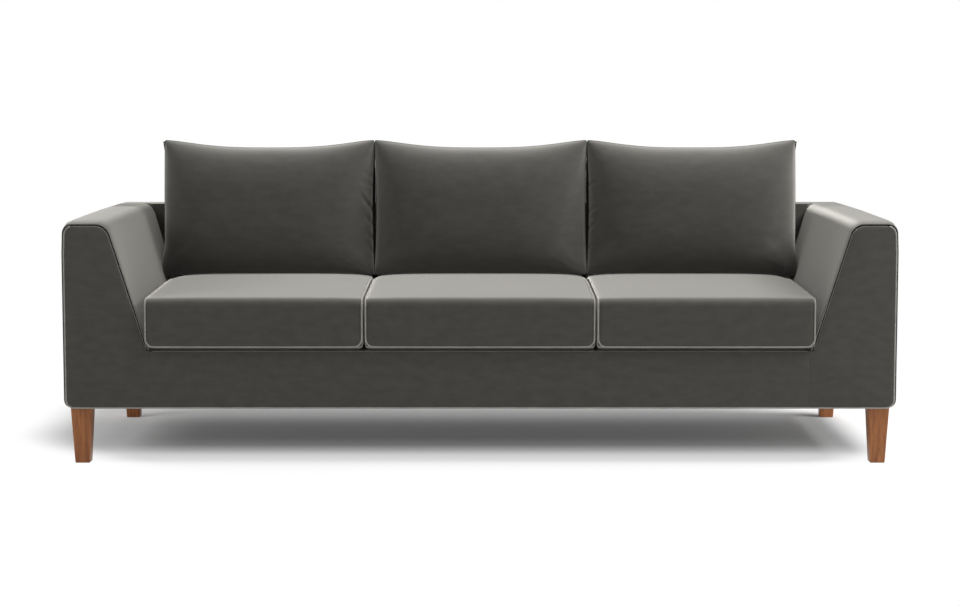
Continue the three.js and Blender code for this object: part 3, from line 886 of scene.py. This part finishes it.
heel_draw_from, heel_draw_to = 0.10, 0.17


def finely(points, closed, pitch=0.006):
    """The same route with a point at least every pitch."""
    fine = []
    ends = list(zip(points, points[1:])) + ([(points[-1], points[0])] if closed else [])
    for a, b in ends:
        count = max(1, round((b - a).length / pitch))
        fine += [a.lerp(b, k / count) for k in range(count)]
    return fine if closed else fine + [points[-1]]


def seat_route(low, high):
    """The welt round a seat cushion's top and front panel."""
    side = (
        (high.y, high.z, seat_corner_radius),
        (low.y, high.z, nose_radius),
        (low.y, low.z, seat_foot_radius),
    )
    corners = [((low.x, y, z), radius) for y, z, radius in side]
    corners += [((high.x, y, z), radius) for y, z, radius in reversed(side)]
    return finely(rounded_route(corners), True)


def heel_route(low, high):
    """The welt round a seat cushion's bottom panel, from front corner to front corner."""
    left, right = low.x + heel_welt_inset, high.x - heel_welt_inset
    front, heel = low.y + heel_welt_from, high.y - heel_welt_inset
    level = low.z + heel_welt_inset
    corners = [
        ((left, front, level), 0),
        ((left, heel, level), seat_corner_radius),
        ((right, heel, level), seat_corner_radius),
        ((right, front, level), 0),
    ]
    return finely(rounded_route(corners, closed=False), False)


def places_of(piece):
    """The places of a piece's vertices, one in each row."""
    co = np.empty(len(piece.data.vertices) * 3)
    piece.data.vertices.foreach_get("co", co)
    return co.reshape(-1, 3)


def put(piece, co):
    """Moves a piece's vertices to the given places."""
    piece.data.vertices.foreach_set("co", np.ascontiguousarray(co, dtype=float).ravel())
    piece.data.update()


def distance_to(points, route):
    """Distance of each point to the nearest point of a route."""
    nearest = np.full(len(points), 1e9)
    for step in range(0, len(route), 64):
        part = route[step : step + 64]
        gaps = np.linalg.norm(points[:, None, :] - part[None], axis=2)
        nearest = np.minimum(nearest, gaps.min(axis=1))
    return nearest


def inflate(covers, cap, slack):
    """Blows up covers, each a piece and its pinned vertices, all in one run of the cloth solver.
    No point moves further than the cap. Slack is how much larger the cloth is than its form."""
    starts = []
    for piece, pinned in covers:
        starts.append(places_of(piece))
        held = piece.vertex_groups.new(name="seam")
        held.add([int(k) for k in pinned], 1.0, "REPLACE")
        cloth = piece.modifiers.new("cloth", "CLOTH")
        cloth.settings.vertex_group_mass = "seam"
        cloth.settings.use_pressure = True
        cloth.settings.uniform_pressure_force = sim_pressure
        cloth.settings.effector_weights.gravity = 0
        cloth.settings.shrink_min = -slack
        cloth.settings.quality = 5
        cloth.collision_settings.use_collision = False
        cloth.collision_settings.use_self_collision = False
    for step in range(1, sim_frames + 1):
        scene.frame_set(step)
    shapes = bpy.context.evaluated_depsgraph_get()
    for (piece, _), start in zip(covers, starts):
        swollen = piece.evaluated_get(shapes).data
        co = np.empty(len(swollen.vertices) * 3)
        swollen.vertices.foreach_get("co", co)
        moved = co.reshape(-1, 3) - start
        length = np.linalg.norm(moved, axis=1, keepdims=True)
        moved *= np.minimum(1, cap / np.maximum(length, 1e-9))
        piece.modifiers.clear()
        put(piece, start + moved)
    scene.frame_set(1)


def eased(share):
    """An even curve from 0 to 1, flat at both its ends."""
    share = np.clip(share, 0, 1)
    return share**2 * (3 - 2 * share)


def sagged(places, low, high):
    """Lowers a seat cushion's top at its front and where the back cushions stand, most at its corners,
    and draws its sides in towards the heel, so that it lifts out between the back cushions."""
    middle, half = np.array((low + high) / 2), np.array((high - low) / 2)
    share = (places - middle) / half
    back = np.clip((places[:, 1] - low.y) / sag_reach, 0, 1)
    sag = front_sag + corner_sag * np.abs(share[:, 0]) ** 6
    rear = np.clip((places[:, 1] - rear_sag_from) / rear_sag_reach, 0, 1)
    sag = sag * (1 - back) ** 1.3 + rear_sag * np.abs(share[:, 0]) ** 8 * rear**2
    places[:, 2] -= sag * np.clip(share[:, 2], 0, 1)
    drawn = eased((places[:, 1] - heel_draw_from) / (heel_draw_to - heel_draw_from))
    places[:, 0] -= heel_draw * share[:, 0] * drawn
    return places


seat_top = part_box("center_seat_cover")[1].z - seat_crown
seat_covers = []
for name in cushion_names:
    low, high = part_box(f"{name}_seat_cover")
    low = low + Vector((-arm_spread * (name == "left"), seat_front_bulge, 0))
    high = Vector((high.x + arm_spread * (name == "right"), high.y, seat_top))
    cushion = block(low, high)
    cushion.name = f"{name}_seat_cushion"
    roll_edges(cushion, lambda e: lies_at(e, y=low.y, z=high.z), nose_radius, 8)
    roll_edges(cushion, lambda e: lies_at(e, y=high.y), seat_heel_radius, 5)
    roll_edges(
        cushion,
        lambda e: lies_at(e, z=low.z) and abs(e.verts[0].co.x - e.verts[1].co.x) < 0.001,
        seat_foot_radius,
        5,
    )
    roll_edges(cushion, lambda e: e.calc_face_angle(0) > 0.7, seat_edge_radius, 2)
    only(cushion)
    remesh = cushion.modifiers.new("remesh", "REMESH")
    remesh.mode = "VOXEL"
    remesh.voxel_size = seat_voxel
    bpy.ops.object.modifier_apply(modifier=remesh.name)
    co = places_of(cushion)
    middle, half = np.array((low + high) / 2), np.array((high - low) / 2)
    share = np.clip((co - middle) / half, -1, 1)
    crown = (1 - np.abs(share[:, 0]) ** 3) * (1 - share[:, 1] ** 4)
    co[:, 2] += np.maximum(share[:, 2], 0) * seat_crown * seat_crown_share * crown
    bulge = np.maximum(-share[:, 1], 0) ** 4 * (1 - share[:, 0] ** 4) * (1 - share[:, 2] ** 2)
    co[:, 1] -= seat_front_bulge * seat_bulge_share * bulge
    below = np.clip(1 - (co[:, 2] - low.z) / seat_undercut_from, 0, 1)
    undercut = np.maximum(co[:, 1], low.y + seat_undercut * below**0.6)
    co[:, 1] = np.where(below > 0, undercut, co[:, 1])
    co = sagged(co, low, high)
    put(cushion, co)
    raised = Vector((0, 0, seat_welt_rise))
    route = seat_route(low + seat_route_inset + raised, high - seat_route_inset)
    route = sagged(np.array(route), low, high)
    heel = np.array(heel_route(low, high))
    pinned = np.nonzero(distance_to(co, np.concatenate([route, heel])) < seat_pin_reach)[0]
    seat_covers.append((cushion, pinned, route, heel))
inflate([(c, p) for c, p, _, _ in seat_covers], seat_cap, seat_slack)


def seated_welt(name, piece, route, radius, closed):
    """A welt laid on the surface of a piece, following a route close to it."""
    tree = BVHTree.FromObject(piece, bpy.context.evaluated_depsgraph_get())
    path = [tree.find_nearest(place)[0] for place in route]
    return welt(name, path, radius, closed)


for name, (cushion, _, route, heel) in zip(cushion_names, seat_covers):
    body = f"{name}_seat_cushion"
    box_low, box_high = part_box(f"{name}_seat_cover")
    co = places_of(cushion)
    co[:, 2] = np.maximum(co[:, 2], box_low.z + cushion_clearance / 4)
    co[:, 1] = np.minimum(co[:, 1], box_high.y - cushion_clearance)
    beside_arm = arm_inner(co[:, 2]) - cushion_clearance
    limit = np.where(co[:, 1] > front_plane - 0.002, beside_arm, half_width)
    lowest = -limit if name == "left" else box_low.x + cushion_clearance
    highest = limit if name == "right" else box_high.x - cushion_clearance
    co[:, 0] = np.clip(co[:, 0], lowest, highest)
    put(cushion, co)
    # The welt round the top and front takes the velvet with painted highlight, and the lower one takes
    # the plain velvet.
    edge = welt(f"{name}_seat_welt", route, seat_welt_radius)
    dress(edge, painted_highlight_velvet, body, "velvet")
    lower = seated_welt(f"{name}_seat_lower_welt", cushion, heel, seat_welt_radius, False)
    dress(lower, upholstery, body, "velvet")
    dress(cushion, upholstery, body, "velvet", f"{name}_seat_cover", fill=0.9)

# Back cushions: loose fibre-filled cushions of two velvet panels sewn edge to edge, with ears at
# the top corners. They stand on the seat cushions, lean on the inside back and press against
# each other. The filling pulls short puckers into the seams where two of them meet.
back_columns = 90
back_rows = 60
front_bulge = 0.100
rear_bulge = 0.128
seam_from_inside = 0.137
top_draw = 0.022
side_draw = 0.0055
side_swell = 0.0010
base_squash = 0.021
side_press = 1.6
press_from = 0.97
press_fade = 0.08
foot_spread = 1.6
foot_spread_to = 0.25
corner_to = 0.22
corner_full = 0.08
foot_droop = 0.014
foot_settles_from = 0.06
back_cap = 0.0015
back_slack = 0.001
seam_pin_reach = 0.0035
ring_points = 160
edge_rows = 0.6
merge_distance = 0.00001
start_share = 0.96
back_welt_radius = 0.0010
back_places = {"left": (-0.9405, -0.3157), "center": (-0.3143, 0.3187), "right": (0.3201, 0.9405)}
back_foot_spread = 0.0120
ear_from = 0.94
ear_draw = 0.002
ear_drop = 0.0026
split_gap = 0.0006
foot_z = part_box("center_back_cover")[0].z
seats_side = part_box("right_seat_cover")[1].x
ear_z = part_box("center_back_cover")[1].z - ear_drop
back_lean = (back_top_front - back_foot_front) / (back_top - deck_top)


def refine(piece):
    """Halves the grid of a piece's mesh, with its creased seams kept sharp."""
    only(piece)
    finer = piece.modifiers.new("finer", "SUBSURF")
    finer.levels = finer.render_levels = 1
    bpy.ops.object.modifier_apply(modifier=finer.name)


def inside_back_y(z):
    """Front face of the inside back at a height."""
    return back_top_front - (back_top - z) * back_lean


def full_share(place):
    """How full a back cushion is across or up it: 1 in the middle and 0 at a seam."""
    return np.sqrt(np.maximum(1 - np.abs(place) ** 3, 0))


def pressed(name, x, z):
    """Keeps a back cushion clear of the arm beside it and flat where it presses on the next one."""
    left_split = (back_places["left"][1] + back_places["center"][0]) / 2
    right_split = (back_places["center"][1] + back_places["right"][0]) / 2
    arm = arm_inner(z) - cushion_clearance
    lowest = {"left": -arm, "center": left_split + split_gap / 2, "right": right_split + split_gap / 2}
    highest = {"left": left_split - split_gap / 2, "center": right_split - split_gap / 2, "right": arm}
    return np.clip(x, lowest[name], highest[name])


def pillow_place(name, u, v, side):
    """Where a point of a back cushion's front (side -1) or rear (side 1) panel lies.
    u and v run from -1 to 1 across and up it."""
    x0, x1 = back_places[name]
    up = (v + 1) / 2
    level = foot_z + (ear_z - foot_z) * up
    low_share = np.clip(1 - up / foot_spread_to, 0, 1) ** 1.5
    corner = eased((corner_to - up) / (corner_to - corner_full))
    spread = back_foot_spread * corner * np.abs(u) ** 6
    bow = (1 - v**2) ** 1.3
    left = x0 + (-side_swell if name == "left" else side_draw) * bow - spread * (name == "left")
    right = x1 + (side_swell if name == "right" else -side_draw) * bow + spread * (name == "right")
    behind = np.clip((press_from - np.abs(u)) / press_fade, 0, 1)
    push = np.where(side > 0, side_press * behind, foot_spread * low_share)
    ear = ear_draw * np.clip((v - ear_from) / (1 - ear_from), 0, 1) ** 2
    left, right = left + ear, right - ear
    across = u * (1 + push * np.abs(u) * (1 - np.abs(u)))
    x = (left + right) / 2 + across * (right - left) / 2
    arch = (1 - np.abs(u) ** 3) ** 1.7
    z = level - top_draw * arch * up**3 - base_squash * (1 - u**4) * (1 - up) ** 4
    x = pressed(name, x, z)
    seam = inside_back_y(level) - seam_from_inside
    full = full_share(u) * full_share(v) * start_share
    y = seam + np.where(side < 0, -front_bulge * full, rear_bulge * full)
    z = np.maximum(z, foot_z)
    y = np.minimum(y, inside_back_y(z) - cushion_clearance)
    return np.stack([x, y, z], axis=1)


# Which of its two side seams a cushion is drawn in at, with its puckers: for each the height where
# it meets the seam, its rise away from the seam, its reach and its depth.
puckers = {
    "left": (
        1,
        [
            (0.757, 0.010, 0.038, 0.0048),
            (0.727, 0.014, 0.042, 0.0056),
            (0.649, 0.058, 0.044, 0.0084),
            (0.610, 0.032, 0.034, 0.0070),
            (0.568, 0.024, 0.030, 0.0059),
            (0.529, 0.020, 0.022, 0.0048),
        ],
    ),
    "right": (
        0,
        [
            (0.730, 0.007, 0.032, 0.0059),
            (0.649, 0.018, 0.034, 0.0062),
            (0.598, 0.018, 0.028, 0.0056),
            (0.544, 0.008, 0.024, 0.0050),
        ],
    ),
}
pucker_width = 0.0055
# The soft ridges on both sides of a pucker's fold: how many widths away, and their share of its depth.
pucker_ridges = ((1.9, 0.6), (-1.9, 0.4))


def puckered(name, co):
    """Draws the puckers into a back cushion's front panel."""
    if name not in puckers:
        return
    which, folds = puckers[name]
    inward = abs(co[:, 0] - back_places[name][which])
    in_front = co[:, 1] < inside_back_y(co[:, 2]) - seam_from_inside
    for height, rise, reach, depth in folds:
        along = np.clip(inward / reach, 0, 1)
        off = (co[:, 2] - height - rise * along) / (pucker_width * math.hypot(1, rise / reach))
        share = np.sin(np.pi * along**0.5) * (1 - along) ** 0.5
        fold = np.exp(-(off**2))
        for away, ridge in pucker_ridges:
            fold -= ridge * np.exp(-((off - away) ** 2))
        co[:, 1] += in_front * depth * share * fold


def settled(co, seats):
    """Lets a back cushion's foot down on the seats below it, and its corner into the crevice."""
    lowered = np.zeros(len(co))
    for k in np.nonzero(co[:, 2] < foot_z + foot_settles_from)[0]:
        above = Vector((co[k, 0], co[k, 1], foot_z + foot_settles_from))
        hits = [hit for tree in seats if (hit := tree.ray_cast(above, Vector((0, 0, -1)))[0])]
        seat_level = max((hit.z for hit in hits), default=foot_z - foot_droop)
        lowered[k] = foot_z - seat_level - split_gap
    lowered = np.where(abs(co[:, 0]) < seats_side, np.clip(lowered, 0, foot_droop / 2), lowered)
    fade = np.clip(1 - (co[:, 2] - foot_z) / foot_settles_from, 0, 1)
    co[:, 2] -= lowered * fade


back_covers = []
for name in cushion_names:
    bpy.ops.object.select_all(action="DESELECT")
    bpy.ops.mesh.primitive_grid_add(x_subdivisions=back_columns, y_subdivisions=back_rows, size=2)
    cushion = bpy.context.object
    cushion.name = f"{name}_back_cushion"
    with opened(cushion):
        bpy.ops.mesh.select_all(action="SELECT")
        bpy.ops.mesh.duplicate()
        bpy.ops.transform.translate(value=(0, 0, 1))
        bpy.ops.mesh.flip_normals()
    flat = places_of(cushion)
    u, v = flat[:, 0], flat[:, 1]
    u, v = (edge_rows * np.sin(at * math.pi / 2) + (1 - edge_rows) * at for at in (u, v))
    side = np.where(flat[:, 2] < 0.5, -1, 1)
    put(cushion, pillow_place(name, u, v, side))
    turn = np.linspace(-1, 1, ring_points)[:-1]
    ones = np.ones_like(turn)
    ring_u = np.concatenate([ones, -turn, -ones, turn])
    ring_v = np.concatenate([turn, ones, -turn, -ones])
    ring = pillow_place(name, ring_u, ring_v, -np.ones_like(ring_u))
    with opened(cushion):
        bpy.ops.mesh.select_all(action="SELECT")
        bpy.ops.mesh.remove_doubles(threshold=merge_distance)
    pinned = np.nonzero(distance_to(places_of(cushion), ring) < seam_pin_reach)[0]
    sewn = set(pinned.tolist())
    with opened(cushion):
        choose(cushion, "edges", lambda e: all(v.index in sewn for v in e.verts))
        bpy.ops.transform.edge_crease(value=1)
    back_covers.append((cushion, pinned, ring))
inflate([(c, p) for c, p, _ in back_covers], back_cap, back_slack)
shapes = bpy.context.evaluated_depsgraph_get()
seats = [BVHTree.FromObject(c, shapes) for c, _, _, _ in seat_covers]
for name, (cushion, _, ring) in zip(cushion_names, back_covers):
    body = f"{name}_back_cushion"
    refine(cushion)
    co = places_of(cushion)
    co[:, 2] = np.maximum(co[:, 2], foot_z)
    puckered(name, co)
    settled(co, seats)
    settled(ring, seats)
    co[:, 0] = pressed(name, co[:, 0], co[:, 2])
    co[:, 1] = np.minimum(co[:, 1], inside_back_y(co[:, 2]) - cushion_clearance)
    put(cushion, co)
    upright_and_top = ring[: 3 * len(turn)]
    edge = welt(f"{name}_back_welt", upright_and_top, back_welt_radius, closed=False)
    dress(edge, upholstery, body, "velvet")
    dress(cushion, upholstery, body, "velvet", f"{name}_back_cover", fill=0.7)
